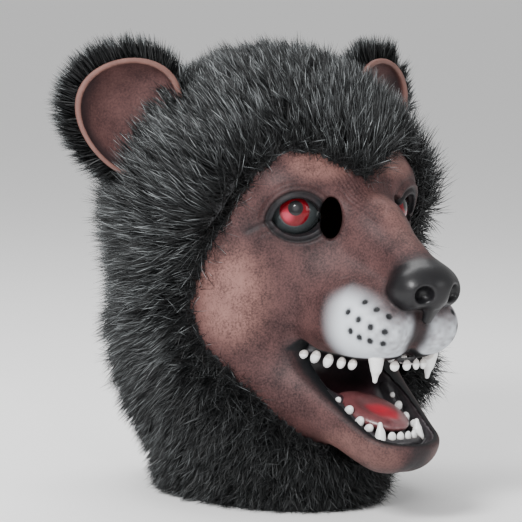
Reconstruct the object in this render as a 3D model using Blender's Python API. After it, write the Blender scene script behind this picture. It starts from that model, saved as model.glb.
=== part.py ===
"""Full-head bear mask: a hollow latex head with moulded face, open mouth with teeth, and a fur hood.

Metres, +Z up. The face looks along -Y, the mask's left is +X, and it stands on its neck at Z = 0.
"""

import math

import bmesh
import bpy
import numpy as np

# Driving sizes
SKULL_WIDTH = 0.224
SKULL_DEPTH = 0.236
CROWN_HEIGHT = 0.353
MUZZLE_REACH = 0.208
NECK_WIDTH = 0.154
NECK_DEPTH = 0.174
LATEX_WALL = 0.0022
SEAT_GAP = 0.0003

EYE_SPREAD = 0.102
EYE_HEIGHT = 0.241
EYE_DIAMETER = 0.044
EYE_TURN = 27
EYE_WALL = 0.002
SIGHT_HOLE_WIDTH = 0.016
SIGHT_HOLE_HEIGHT = 0.033
NOSE_WIDTH = 0.048
NOSTRIL_DIAMETER = 0.012

MOUTH_CORNER_HEIGHT = 0.128
MOUTH_LENGTH = 0.49 * MUZZLE_REACH
UPPER_LIP_RISE = 0.016
JAW_DROP = 0.062
LINING_WALL = 0.002
MOUTH_WIDTH = 0.076
FANG_LENGTH = 0.020
TOOTH_LENGTH = 0.0095
TOOTH_WIDTH = 0.0075
UPPER_TOOTH_INSET = 0.0048
LOWER_TOOTH_INSET = 0.011
TONGUE_WIDTH = 0.038
TONGUE_LENGTH = 0.076
TONGUE_THICKNESS = 0.022

EAR_WIDTH = 0.092
EAR_HEIGHT = 0.106
EAR_DEPTH = 0.026
EAR_WALL = 0.0025
EAR_SPREAD = 0.264
EAR_RISE = 0.316
EAR_SPLAY = math.radians(20)
EAR_LEAN = math.radians(10)

FUR_PILE = 0.017
FUR_LOCK = 0.007
EAR_PILE = 0.016
HEM_HEIGHT = 0.008
HEM_THICKNESS = 0.0045

HEAD_RINGS = 26
HEAD_SEGMENTS = 28
LOCK_RINGS = 22
LOCK_SEGMENTS = 24
FACE_DENSITY = 1.3

HEART = np.array([0.0, -0.19 * MUZZLE_REACH, 0.47 * CROWN_HEIGHT])

# Lumps of the skull: shares of skull width, skull depth and crown height.
# kind, centre or start, radii or end, yaw degrees, blend as a share of skull width
SKULL_LUMPS = (
    ("ball", (0.0, 0.042, 0.666), (0.5, 0.5, 0.334), 0, 0.0),
    ("ball", (0.0, -0.161, 0.17), (0.25, 0.237, 0.176), 0, 0.18),
    ("ball", (0.25, -0.10, 0.453), (0.205, 0.19, 0.176), 0, 0.18),
    ("ball", (0.192, -0.364, 0.739), (0.147, 0.085, 0.048), 14, 0.12),
)

# Lumps of the muzzle and jaw: shares of skull width, muzzle reach and crown height.
# A bar's radii are shares of skull width.
MUZZLE_LUMPS = (
    ("ball", (0.0, -0.505, 0.504), (0.196, 0.375, 0.113), 0, 0.18),
    ("bar", ((0.0, -0.308, 0.674), (0.0, -0.596, 0.649)), (0.134, 0.094), 0, 0.13),
    ("bar", ((0.0, -0.596, 0.649), (0.0, -0.846, 0.564)), (0.094, 0.080), 0, 0.06),
    ("ball", (0.089, -0.731, 0.45), (0.107, 0.173, 0.071), 18, 0.06),
    ("ball", (0.116, -0.567, 0.442), (0.089, 0.212, 0.062), 10, 0.1),
    ("bar", ((0.205, -0.19, 0.317), (0.067, -0.76, 0.193)), (0.12, 0.098), 0, 0.12),
    ("ball", (0.0, -0.74, 0.187), (0.121, 0.173, 0.065), 0, 0.07),
    ("ball", (0.0, -0.567, 0.306), (0.134, 0.317, 0.125), 0, 0.06),
)

# Skin line where the fur starts, seen from the front: shares of half the skull width and crown height
SKIN_LINE = (
    (0.03, 0.754), (0.11, 0.771), (0.34, 0.813), (0.53, 0.824), (0.68, 0.788), (0.82, 0.694),
    (0.92, 0.567), (0.89, 0.467), (0.79, 0.374), (0.64, 0.297), (0.55, 0.246), (0.38, 0.167),
    (0.18, 0.119), (0.05, 0.108),
)

# Teeth: angle from the middle of the jaw in degrees, width share, length share
UPPER_TEETH = (
    (5, 0.70, 0.70), (12.5, 0.72, 0.72), (20, 1.15, 2.10), (28.5, 0.92, 0.95),
    (36, 0.98, 1.00), (45, 1.00, 1.10), (56, 0.95, 1.00), (69, 0.88, 0.75),
)
LOWER_TEETH = (
    (5, 0.66, 0.80), (14, 0.68, 0.80), (24, 1.00, 1.75), (36, 0.80, 0.85),
    (48, 0.82, 0.90), (62, 0.78, 0.85), (77, 0.66, 0.70),
)


def new_collection(name):
    collection = bpy.data.collections.new(name)
    bpy.context.scene.collection.children.link(collection)
    return collection


for old in list(bpy.data.objects):
    bpy.data.objects.remove(old, do_unlink=True)
mask = new_collection("bear_mask")
cutters = new_collection("cutters")


def material(name, colour, roughness, metallic=0.0):
    made = bpy.data.materials.new(name)
    made.use_nodes = True
    shader = made.node_tree.nodes["Principled BSDF"]
    shader.inputs["Base Color"].default_value = (*colour, 1.0)
    shader.inputs["Roughness"].default_value = roughness
    shader.inputs["Metallic"].default_value = metallic
    return made


def add_object(name, bm, surface=None):
    """Closes a bmesh into an object: a part if it has a surface, else a cutter."""
    bmesh.ops.triangulate(bm, faces=bm.faces)
    bm.normal_update()
    bmesh.ops.recalc_face_normals(bm, faces=bm.faces)
    mesh = bpy.data.meshes.new(name)
    bm.to_mesh(mesh)
    bm.free()
    made = bpy.data.objects.new(name, mesh)
    if surface is None:
        cutters.objects.link(made)
        made.display_type = "WIRE"
        made.hide_render = True
    else:
        mask.objects.link(made)
        mesh.materials.append(surface)
        mesh.shade_smooth()
    return made


def boolean(target, tool, operation="DIFFERENCE"):
    """Cuts or joins with the tool. Thin skins and crossing locks fail in the EXACT solver."""
    modifier = target.modifiers.new(tool.name, "BOOLEAN")
    modifier.operation = operation
    modifier.object = tool
    modifier.solver = "MANIFOLD"


# The head's form, as a distance from its outer skin
def smooth_union(a, b, blend):
    if blend <= 0:
        return np.minimum(a, b)
    near = np.maximum(blend - np.abs(a - b), 0) / blend
    return np.minimum(a, b) - near * near * blend / 4


def ball_distance(points, centre, radii, yaw=0.0):
    q = points - centre
    s, c = math.sin(math.radians(yaw)), math.cos(math.radians(yaw))
    q = np.stack([q[:, 0] * c + q[:, 1] * s, q[:, 1] * c - q[:, 0] * s, q[:, 2]], axis=1)
    outer = np.linalg.norm(q / radii, axis=1)
    slope = np.linalg.norm(q / radii**2, axis=1) + 1e-9
    return outer * (outer - 1) / slope


def bar_distance(points, start, end, start_radius, end_radius):
    along = end - start
    share = np.clip((points - start) @ along / (along @ along), 0, 1)
    radius = start_radius + (end_radius - start_radius) * share
    return np.linalg.norm(points - start - share[:, None] * along, axis=1) - radius


def neck_distance(points):
    """A neck that widens to the sides and the back from its rim up to the nape."""
    nape = 0.4 * CROWN_HEIGHT
    rise = np.clip(points[:, 2] / nape, 0, 1)
    wide = NECK_WIDTH / 2 + (0.93 * SKULL_WIDTH - NECK_WIDTH) / 2 * rise
    shift = (SKULL_DEPTH - NECK_DEPTH) / 4 * rise
    deep = NECK_DEPTH / 2 + shift
    outer = np.hypot(points[:, 0] / wide, (points[:, 1] - shift) / deep)
    side = (outer - 1) * np.minimum(wide, deep)
    above = points[:, 2] - 1.12 * nape
    return -smooth_union(-side, -above, 0.2 * SKULL_WIDTH)


def lump_distance(points, lump, scale):
    kind, place, size, yaw, _ = lump
    if kind == "ball":
        return ball_distance(points, np.array(place) * scale, np.array(size) * scale, yaw)
    start, end = (np.array(p) * scale for p in place)
    return bar_distance(points, start, end, size[0] * SKULL_WIDTH, size[1] * SKULL_WIDTH)


def head_form(points):
    """Distance outside the head's skin, with the mouth closed and both sides alike."""
    p = np.array(points, float)
    p[:, 0] = np.abs(p[:, 0])
    skull = np.array([SKULL_WIDTH, SKULL_DEPTH, CROWN_HEIGHT])
    muzzle = np.array([SKULL_WIDTH, MUZZLE_REACH, CROWN_HEIGHT])
    form = lump_distance(p, SKULL_LUMPS[0], skull)
    form = smooth_union(form, neck_distance(p), 0.15 * SKULL_WIDTH)
    for lump in SKULL_LUMPS[1:]:
        form = smooth_union(form, lump_distance(p, lump, skull), lump[4] * SKULL_WIDTH)
    for lump in MUZZLE_LUMPS:
        form = smooth_union(form, lump_distance(p, lump, muzzle), lump[4] * SKULL_WIDTH)
    lids = ball_distance(p, EYE, EYE_DIAMETER * np.array([0.61, 0.43, 0.52]), EYE_TURN)
    return smooth_union(form, lids, 0.23 * EYE_DIAMETER)


EYE = np.array([EYE_SPREAD / 2, -0.37 * SKULL_DEPTH, EYE_HEIGHT])
LOOK = np.array([math.sin(math.radians(EYE_TURN)), -math.cos(math.radians(EYE_TURN)), 0.0])


def reach(form, heart, directions, level):
    """How far each direction runs from the heart to the form's outermost point at that level."""
    steps = np.linspace(0, 1.6 * CROWN_HEIGHT, 150)
    spots = heart + directions[:, None, :] * steps[None, :, None]
    values = form(spots.reshape(-1, 3)).reshape(len(directions), len(steps)) - level[:, None]
    last = len(steps) - 1 - np.argmax(values[:, ::-1] < 0, axis=1)
    low = steps[last]
    high = steps[np.minimum(last + 1, len(steps) - 1)]
    for _ in range(22):
        middle = (low + high) / 2
        inside = form(heart + directions * middle[:, None]) < level
        low = np.where(inside, middle, low)
        high = np.where(inside, high, middle)
    return low


def net_directions(points, density):
    """Turns a sphere's points so that its pole looks forward, with its rings crowded to the front."""
    polar = math.pi * (np.arccos(np.clip(points[:, 2], -1, 1)) / math.pi) ** density
    turn = np.arctan2(points[:, 1], points[:, 0])
    return np.stack([np.sin(polar) * np.cos(turn), -np.cos(polar), np.sin(polar) * np.sin(turn)], axis=1)


def lock_tips(points, rings, segments):
    """1 at every second point of the sphere's net, which becomes the tip of a lock, else 0."""
    row = np.round(np.arccos(np.clip(points[:, 2], -1, 1)) * rings / math.pi).astype(int)
    column = np.round(np.arctan2(points[:, 1], points[:, 0]) * segments / (2 * math.pi)).astype(int)
    return ((row + column) % 2 == 0).astype(float)


def pushed_ball(name, form, heart, level, rings, segments, surface=None, density=1.0, pile=None):
    """A UV sphere with its poles fore and aft, pushed out from the heart until it meets the form.

    level is the distance kept outside the form. pile, if given, takes the directions and the
    lock tips, and returns each point's extra height and its shift along the nap.
    """
    bm = bmesh.new()
    bmesh.ops.create_uvsphere(bm, u_segments=segments, v_segments=rings, radius=1.0)
    bmesh.ops.triangulate(bm, faces=bm.faces)
    raw = np.array([v.co[:] for v in bm.verts])
    raw /= np.linalg.norm(raw, axis=1)[:, None]
    directions = net_directions(raw, density)
    height, nap = pile(directions, lock_tips(raw, rings, segments)) if pile else (0.0, 0.0)
    levels = np.full(len(directions), float(level)) + height
    places = heart + directions * reach(form, heart, directions, levels)[:, None] + nap
    for vertex, place in zip(bm.verts, places):
        vertex.co = place
    return add_object(name, bm, surface)


def to_floor(points):
    """The head's form with the neck carried on below the rim, so that the rim can be cut flat."""
    below = -0.1 * CROWN_HEIGHT - points[:, 2]
    return np.maximum(head_form(points), below)


def block(name, low, high):
    bm = bmesh.new()
    bmesh.ops.create_cube(bm, size=1.0)
    low, high = np.array(low), np.array(high)
    for vertex in bm.verts:
        vertex.co = (low + high) / 2 + np.array(vertex.co) * (high - low)
    return add_object(name, bm)


def ellipsoid(name, centre, radii, yaw=0.0, tilt=0.0, rings=6, segments=10, surface=None):
    bm = bmesh.new()
    bmesh.ops.create_uvsphere(bm, u_segments=segments, v_segments=rings, radius=1.0)
    turn, nod = math.radians(yaw), math.radians(tilt)
    for vertex in bm.verts:
        x, y, z = (vertex.co[i] * radii[i] for i in range(3))
        y, z = y * math.cos(nod) - z * math.sin(nod), y * math.sin(nod) + z * math.cos(nod)
        x, y = x * math.cos(turn) - y * math.sin(turn), x * math.sin(turn) + y * math.cos(turn)
        vertex.co = (centre[0] + x, centre[1] + y, centre[2] + z)
    return add_object(name, bm, surface)


def side_of(point, side):
    return np.array([point[0] * side, point[1], point[2]])


SIDES = (("left", 1), ("right", -1))
reach_all = 2 * MUZZLE_REACH
below_rim = block("below_rim", (-reach_all, -reach_all, -0.3 * CROWN_HEIGHT), (reach_all, reach_all, 0.0))

# Mouth: the upper and lower lip lines run forward from the corner and fan apart
CORNER_Y = -0.365 * MUZZLE_REACH
LIP_ENDS = 1.45 * MOUTH_LENGTH


def upper_lip_height(x, y):
    run = np.clip((CORNER_Y - y) / MOUTH_LENGTH, 0, 1.3)
    fold = 0.66 * UPPER_LIP_RISE * math.exp(-((run - 0.16) / 0.16) ** 2)
    middle = UPPER_LIP_RISE * math.exp(-((x / (0.15 * MOUTH_WIDTH)) ** 2))
    return MOUTH_CORNER_HEIGHT + 0.18 * UPPER_LIP_RISE + fold + middle * min(max((run - 0.5) / 0.3, 0), 1)


def lower_lip_height(_, y):
    run = np.clip((CORNER_Y - y) / MOUTH_LENGTH, 0, 1.3)
    return MOUTH_CORNER_HEIGHT - JAW_DROP * run**0.92 + 0.19 * JAW_DROP * run**4


def mouth_room(name, grow):
    """Loft across the mouth: each section is the side view between the two lip lines."""
    half = 0.34 * SKULL_WIDTH
    across = (-1.0, -0.5, -0.25, -0.12, 0.0, 0.12, 0.25, 0.5, 1.0)
    forward = (0.04, 0.16, 0.3, 0.46, 0.64, 0.82, 1.0)
    bm = bmesh.new()
    sections = []
    for offset in across:
        x = offset * half
        along = [CORNER_Y - share * LIP_ENDS for share in forward]
        upper = [(y, upper_lip_height(x, y) + grow) for y in along]
        lower = [(y, lower_lip_height(x, y) - grow) for y in along]
        back = [(CORNER_Y + grow, MOUTH_CORNER_HEIGHT)]
        outline = back + upper + lower[::-1]
        sections.append([bm.verts.new((x, y, z)) for y, z in outline])
    for near, far in zip(sections, sections[1:]):
        count = len(near)
        for i in range(count):
            bm.faces.new((near[i], near[(i + 1) % count], far[(i + 1) % count], far[i]))
    for end in (sections[0], sections[-1]):
        bm.faces.new(end)
    return add_object(name, bm)


THROAT = (0.0, CORNER_Y - 0.05 * MUZZLE_REACH, MOUTH_CORNER_HEIGHT - 0.12 * JAW_DROP)
THROAT_RADII = np.array([0.36 * MOUTH_WIDTH, 0.42 * MOUTH_LENGTH, 0.42 * JAW_DROP])


def whole_mouth(name, grow):
    room = mouth_room(name, grow)
    throat = ellipsoid(name + "_throat", THROAT, THROAT_RADII + grow, tilt=20, rings=8, segments=12)
    boolean(room, throat, "UNION")
    return room


mouth_air = whole_mouth("mouth_air", 0.0)
mouth_pocket = whole_mouth("mouth_pocket", LINING_WALL)
mouth_hole = whole_mouth("mouth_hole", LINING_WALL + SEAT_GAP)
tooth_room = whole_mouth("tooth_room", -SEAT_GAP)

# Latex head
latex = material("latex", (0.17, 0.095, 0.085), 0.6)


def head_ball(name, level, surface=None):
    return pushed_ball(name, to_floor, HEART, level, HEAD_RINGS, HEAD_SEGMENTS, surface, FACE_DENSITY)


head_hollow = head_ball("head_hollow", -LATEX_WALL)

SOCKET_RADII = np.array([0.45, 0.34, 0.37]) * EYE_DIAMETER
SOCKET = EYE + 0.3 * EYE_DIAMETER * LOOK
EYEBALL = EYE - 0.13 * EYE_DIAMETER * LOOK
SIGHT_HOLE = EYE + EYE_DIAMETER * np.array([-0.587, -0.648, -0.045])
SIGHT_RADII = np.array([0.5 * SIGHT_HOLE_WIDTH, 2 * SIGHT_HOLE_WIDTH, 0.5 * SIGHT_HOLE_HEIGHT])
face_holes = [head_hollow, below_rim, mouth_hole]
for label, side in SIDES:
    face_holes.append(ellipsoid("socket_" + label, side_of(SOCKET, side), SOCKET_RADII, EYE_TURN * side))
    face_holes.append(ellipsoid("sight_" + label, side_of(SIGHT_HOLE, side), SIGHT_RADII))

# The skin is made in quarters, so that collision follows each bent sheet and leaves the hollow open
for end, low_y, high_y in (("front", -reach_all, -SEAT_GAP / 2), ("back", SEAT_GAP / 2, reach_all)):
    for label, side in SIDES:
        edges = sorted((side * SEAT_GAP / 2, side * reach_all))
        quarter = block(f"quarter_{end}_{label}", (edges[0], low_y, -reach_all), (edges[1], high_y, 3 * reach_all))
        shell = head_ball(f"head_shell_{end}_{label}", 0.0, latex)
        for hole in face_holes:
            boolean(shell, hole)
        boolean(shell, quarter, "INTERSECT")

# Eyes: hollow domes behind the lids
eye_gloss = material("eye", (0.45, 0.012, 0.02), 0.12)
for label, side in SIDES:
    radius = EYE_DIAMETER / 2
    eye = ellipsoid("eye_" + label, side_of(EYEBALL, side), [radius] * 3, rings=8, surface=eye_gloss)
    hollow = ellipsoid("eye_hollow_" + label, side_of(EYEBALL, side), [radius - EYE_WALL] * 3, rings=8)
    seat = ellipsoid("eye_seat_" + label, side_of(SOCKET, side), SOCKET_RADII - SEAT_GAP, EYE_TURN * side)
    boolean(eye, hollow)
    boolean(eye, seat, "INTERSECT")

# Nose cap on the end of the muzzle
NOSE = np.array([0.0, -0.892 * MUZZLE_REACH, 0.546 * CROWN_HEIGHT])


def nose_form(points):
    p = np.array(points, float)
    p[:, 0] = np.abs(p[:, 0])
    pad = ball_distance(p, NOSE, NOSE_WIDTH * np.array([0.46, 0.46, 0.40]))
    wing = ball_distance(p, NOSE + NOSE_WIDTH * np.array([0.28, 0.0, -0.10]), NOSE_WIDTH * np.array([0.24, 0.36, 0.27]))
    start = NOSE + NOSE_WIDTH * np.array([0.0, -0.24, -0.2])
    end = NOSE + NOSE_WIDTH * np.array([0.0, -0.08, -0.62])
    septum = bar_distance(p, start, end, 0.15 * NOSE_WIDTH, 0.1 * NOSE_WIDTH)
    return smooth_union(smooth_union(pad, wing, 0.12 * NOSE_WIDTH), septum, 0.1 * NOSE_WIDTH)


gloss = material("nose", (0.012, 0.014, 0.018), 0.25)
nose_pad = pushed_ball("nose_pad", nose_form, NOSE, 0.0, 9, 12, gloss)
skull_clear = head_ball("skull_clear", SEAT_GAP)
boolean(nose_pad, skull_clear)
for label, side in SIDES:
    spot = NOSE + NOSE_WIDTH * np.array([0.24 * side, -0.44, -0.12])
    nostril_radii = NOSTRIL_DIAMETER * np.array([0.5, 0.8, 0.5])
    boolean(nose_pad, ellipsoid("nostril_" + label, spot, nostril_radii, 20 * side, rings=6, segments=8))

# Mouth lining: a pocket trimmed flush with the skin
gum = material("gum", (0.03, 0.018, 0.02), 0.4)
mouth_lining = mouth_room("mouth_lining", LINING_WALL)
cutters.objects.unlink(mouth_lining)
mask.objects.link(mouth_lining)
mouth_lining.display_type = "TEXTURED"
mouth_lining.hide_render = False
mouth_lining.data.materials.append(gum)
boolean(mouth_lining, bpy.data.objects["mouth_pocket_throat"], "UNION")
boolean(mouth_lining, mouth_air)
boolean(mouth_lining, head_ball("skin_flush", 0.0), "INTERSECT")

# Tongue
tongue_colour = material("tongue", (0.42, 0.08, 0.09), 0.35)
TONGUE_Y = CORNER_Y - 0.46 * MOUTH_LENGTH
tongue_place = (0.0, TONGUE_Y, lower_lip_height(0.0, TONGUE_Y) + 0.05 * TONGUE_THICKNESS)
tongue_radii = (TONGUE_WIDTH / 2, TONGUE_LENGTH / 2, TONGUE_THICKNESS / 2)
tongue = ellipsoid("tongue", tongue_place, tongue_radii, tilt=27, rings=8, segments=12, surface=tongue_colour)
boolean(tongue, tooth_room, "INTERSECT")

# Teeth: pegs set just inside the lips, trimmed at the gums
enamel = material("enamel", (0.75, 0.74, 0.70), 0.35)
# Tooth row: teeth, middle of the jaw, lip line, height of the gum from it, inset from the skin
TOOTH_ROWS = {
    "upper": (UPPER_TEETH, CORNER_Y - 0.19 * MOUTH_LENGTH, upper_lip_height, LINING_WALL, UPPER_TOOTH_INSET),
    "lower": (LOWER_TEETH, CORNER_Y - 0.29 * MOUTH_LENGTH, lower_lip_height, -LINING_WALL, LOWER_TOOTH_INSET),
}


def behind_lip(row, angle, side):
    """A place on the lip line, inset from where a level ray from the middle of the jaw meets the skin."""
    _, back, height, rise, inset = TOOTH_ROWS[row]
    heading = np.array([[side * math.sin(angle), -math.cos(angle), 0.0]])
    place = (0.0, back)
    for _ in range(3):
        middle = np.array([0.0, back, height(place[0], place[1]) + rise])
        place = middle + heading[0] * (reach(head_form, middle, heading, np.zeros(1))[0] - inset)
    return place - (0, 0, rise)


for row, (teeth, *_) in TOOTH_ROWS.items():
    number = 0
    for angle, width, length in teeth:
        for side in (1, -1):
            number += 1
            place = behind_lip(row, math.radians(angle), side)
            tall = FANG_LENGTH if length > 2 else TOOTH_LENGTH * length
            thick = TOOTH_WIDTH / 2 * width
            peg = ellipsoid(
                f"{row}_tooth_{number:02d}", place, (thick, thick, tall), rings=4, segments=6, surface=enamel
            )
            boolean(peg, tooth_room, "INTERSECT")

# Hem: a band round the rim of the neck
hem_black = material("hem", (0.01, 0.01, 0.011), 0.8)


def neck_ring(height, level, count=HEAD_SEGMENTS):
    turns = np.linspace(0, 2 * math.pi, count, endpoint=False)
    directions = np.stack([np.cos(turns), np.sin(turns), np.zeros(count)], axis=1)
    middle = np.array([0.0, 0.0, height])
    return middle + directions * reach(head_form, middle, directions, np.full(count, level))[:, None]


def add_hem(name):
    rows = (
        neck_ring(0.0, -LATEX_WALL), neck_ring(HEM_HEIGHT, -LATEX_WALL),
        neck_ring(HEM_HEIGHT, SEAT_GAP + HEM_THICKNESS), neck_ring(0.0, SEAT_GAP + HEM_THICKNESS),
    )
    bm = bmesh.new()
    loops = [[bm.verts.new(place) for place in row] for row in rows]
    for near, far in zip(loops, loops[1:] + loops[:1]):
        count = len(near)
        for i in range(count):
            bm.faces.new((near[i], near[(i + 1) % count], far[(i + 1) % count], far[i]))
    return add_object(name, bm, hem_black)


for end, low_y, high_y in (("front", -reach_all, -SEAT_GAP / 2), ("back", SEAT_GAP / 2, reach_all)):
    neck_hem = add_hem("neck_hem_" + end)
    boolean(neck_hem, skull_clear)
    half = block("hem_half_" + end, (-reach_all, low_y, -reach_all), (reach_all, high_y, reach_all))
    boolean(neck_hem, half, "INTERSECT")

# Fur hood: pile in locks over skull, cheeks, throat and neck
fur_pile = material("fur", (0.035, 0.037, 0.04), 0.9)


def hood_pile(directions, tips):
    """Long pile on the crown and short at the neck; the tips lie backward and down."""
    thin = np.clip(1 + 1.1 * directions[:, 2], 0.45, 1.0)
    height = (FUR_PILE + FUR_LOCK * tips) * thin
    nap = np.array([0.0, 0.6, -0.8])
    along = nap - directions * (directions @ nap)[:, None]
    return height, tips[:, None] * FUR_LOCK * along


fur_hood = pushed_ball(
    "fur_hood", to_floor, HEART, 0.0, LOCK_RINGS, LOCK_SEGMENTS, fur_pile, pile=hood_pile
)
boolean(fur_hood, skull_clear)


def face_opening():
    """The skin line carried forward as a prism."""
    right = [(x * SKULL_WIDTH / 2, z * CROWN_HEIGHT) for x, z in SKIN_LINE]
    left = [(-x, z) for x, z in reversed(right)]
    bm = bmesh.new()
    outline = [bm.verts.new((x, -2 * MUZZLE_REACH, z)) for x, z in right + left]
    face = bm.faces.new(outline)
    moved = bmesh.ops.extrude_face_region(bm, geom=[face])
    for item in moved["geom"]:
        if isinstance(item, bmesh.types.BMVert):
            item.co.y = -0.085 * SKULL_DEPTH
    return add_object("face_opening", bm)


boolean(fur_hood, block(
    "hem_room", (-reach_all, -reach_all, -0.3 * CROWN_HEIGHT), (reach_all, reach_all, HEM_HEIGHT + SEAT_GAP),
))
boolean(fur_hood, face_opening())
chin_edge = -0.61 * MUZZLE_REACH
boolean(fur_hood, block(
    "chin_opening", (-0.3 * SKULL_WIDTH, -1.9 * MUZZLE_REACH, -0.2 * CROWN_HEIGHT),
    (0.3 * SKULL_WIDTH, chin_edge, 0.2 * CROWN_HEIGHT),
))


# Ears: a latex bowl with fur round its back
def ear_place(points, side):
    """Turns a bowl that opens along -Y into its place on that side of the crown."""
    lean, splay = -EAR_LEAN * side, EAR_SPLAY * side
    placed = []
    for x, y, z in points:
        x *= side
        x, z = x * math.cos(lean) - z * math.sin(lean), x * math.sin(lean) + z * math.cos(lean)
        x, y = x * math.cos(splay) - y * math.sin(splay), x * math.sin(splay) + y * math.cos(splay)
        placed.append((x + side * EAR_SPREAD / 2, y + 0.125 * SKULL_DEPTH, z + EAR_RISE))
    return placed


def ear_ball(name, side, grow, surface=None, front=1.0, locks=0.0, rings=8, segments=16):
    """An egg narrower at its foot. front is the share kept of the half before the rim, 0 for a bowl."""
    bm = bmesh.new()
    bmesh.ops.create_uvsphere(bm, u_segments=segments, v_segments=rings, radius=1.0)
    radii = (EAR_WIDTH / 2 + grow, EAR_DEPTH + grow, EAR_HEIGHT / 2 + grow)
    points = []
    for i, vertex in enumerate(bm.verts):
        x, y, z = vertex.co.x, vertex.co.z, vertex.co.y
        spread = 1 + 0.16 * z
        tip = locks if (i % 2 == 0 and y > 0.1) else 0.0
        deep = y * (radii[1] + tip) * (1.0 if y > 0 else front)
        points.append((x * (radii[0] + tip) * spread, deep, z * (radii[2] + tip)))
    for vertex, place in zip(bm.verts, ear_place(points, side)):
        vertex.co = place
    return add_object(name, bm, surface)


ear_latex = material("ear_latex", (0.22, 0.12, 0.11), 0.6)
for label, side in SIDES:
    room = ear_ball("ear_room_" + label, side, EAR_PILE + FUR_LOCK + 4 * SEAT_GAP, front=0.04)
    boolean(fur_hood, room)
    ear = ear_ball("ear_" + label, side, 0.0, ear_latex, front=0.0)
    air = ear_ball("ear_air_" + label, side, -EAR_WALL)
    fur = ear_ball("ear_fur_" + label, side, EAR_PILE, fur_pile, front=0.0, locks=FUR_LOCK)
    cup_room = ear_ball("cup_room_" + label, side, SEAT_GAP)
    boolean(ear, air)
    boolean(ear, skull_clear)
    boolean(fur, cup_room)
    boolean(fur, skull_clear)


# Stand the mask on its rim, with the middle of its box over the origin
def centre_on_floor():
    bpy.context.view_layer.update()
    graph = bpy.context.evaluated_depsgraph_get()
    corners = []
    for part in mask.objects:
        shape = part.evaluated_get(graph).to_mesh()
        corners += [part.matrix_world @ vertex.co for vertex in shape.vertices]
    corners = np.array([corner[:] for corner in corners])
    low, high = corners.min(axis=0), corners.max(axis=0)
    shift = ((low[0] + high[0]) / 2, (low[1] + high[1]) / 2, low[2])
    for made in list(mask.objects) + list(cutters.objects):
        made.location = (-shift[0], -shift[1], -shift[2])


centre_on_floor()
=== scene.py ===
"""A full-head bear mask: painted latex head with an open mouth, glossy eyes, cupped ears and a fur hood."""
import math

import bpy
import numpy as np
from mathutils import Matrix, Vector


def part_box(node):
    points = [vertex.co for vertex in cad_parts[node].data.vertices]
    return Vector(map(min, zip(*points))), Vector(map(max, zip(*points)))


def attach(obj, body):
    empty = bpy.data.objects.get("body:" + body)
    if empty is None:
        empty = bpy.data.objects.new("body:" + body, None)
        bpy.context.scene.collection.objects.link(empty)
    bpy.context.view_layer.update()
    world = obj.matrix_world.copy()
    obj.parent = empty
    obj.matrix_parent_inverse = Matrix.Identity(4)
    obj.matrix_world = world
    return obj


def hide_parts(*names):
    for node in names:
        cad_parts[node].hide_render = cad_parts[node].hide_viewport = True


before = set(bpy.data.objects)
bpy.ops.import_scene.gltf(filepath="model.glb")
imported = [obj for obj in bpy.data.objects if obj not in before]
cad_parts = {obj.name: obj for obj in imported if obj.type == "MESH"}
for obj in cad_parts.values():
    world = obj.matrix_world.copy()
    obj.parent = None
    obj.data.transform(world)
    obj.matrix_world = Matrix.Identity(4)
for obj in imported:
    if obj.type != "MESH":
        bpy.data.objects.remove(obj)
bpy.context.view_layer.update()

# Studio: the mask stands on a pale sweep of paper, under a large soft box above the camera's left,
# with a weaker one to the right, a strip overhead that draws the tips of the fur, and a small lamp beside
# the camera that puts the catchlight in the eyes.
PAPER_REACH = 60
paper = bpy.data.materials.new("studio_paper")
paper.use_nodes = True
paper_shader = paper.node_tree.nodes["Principled BSDF"]
paper_shader.inputs["Base Color"].default_value = (0.93, 0.93, 0.93, 1)
paper_shader.inputs["Roughness"].default_value = 0.9
paper_mesh = bpy.data.meshes.new("studio_floor")
paper_mesh.from_pydata(
    [(x * PAPER_REACH, y * PAPER_REACH, 0) for x, y in ((-1, -1), (1, -1), (1, 1), (-1, 1))], [], [(0, 1, 2, 3)],
)
paper_mesh.materials.append(paper)
studio_floor = bpy.data.objects.new("studio_floor", paper_mesh)
bpy.context.collection.objects.link(studio_floor)

sky = bpy.data.worlds.new("studio_air")
sky.use_nodes = True
sky.node_tree.nodes["Background"].inputs["Color"].default_value = (1.0, 1.0, 1.0, 1)
sky.node_tree.nodes["Background"].inputs["Strength"].default_value = 0.7
bpy.context.scene.world = sky


def soft_box(name, place, aim, size, power):
    lamp = bpy.data.lights.new(name, "AREA")
    lamp.shape = "RECTANGLE"
    lamp.size, lamp.size_y = size
    lamp.energy = power
    made = bpy.data.objects.new(name, lamp)
    made.location = place
    made.rotation_euler = (Vector(aim) - Vector(place)).to_track_quat("-Z", "Y").to_euler()
    bpy.context.collection.objects.link(made)


soft_box("key_box", (-1.75, -0.85, 1.45), (0, 0, 0.22), (0.6, 0.6), 74)
soft_box("fill_box", (0.9, -1.9, 0.7), (0, 0, 0.2), (0.8, 0.8), 7)
soft_box("top_strip", (0.1, 0.5, 1.6), (0, 0, 0.25), (1.4, 0.5), 20)
soft_box("lens_lamp", (-1.12, -1.85, 1.08), (-0.06, -0.1, 0.23), (0.16, 0.16), 9)

# The camera stands 2.3 m off, 38 degrees round to the mask's right and a little above it, and is held
# 2 degrees off level, as in the photograph.
CAMERA_AWAY = 2300
PHOTO_PIXELS, MM_PER_PIXEL = 522, 0.82
turn, rise, roll = math.radians(-38), math.radians(6.5), math.radians(2)
toward = Vector((math.sin(turn) * math.cos(rise), -math.cos(turn) * math.cos(rise), math.sin(rise)))
across = Vector((math.cos(turn), math.sin(turn), 0))
upward = toward.cross(across)
across, upward = (
    across * math.cos(roll) + upward * math.sin(roll), upward * math.cos(roll) - across * math.sin(roll),
)
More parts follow.
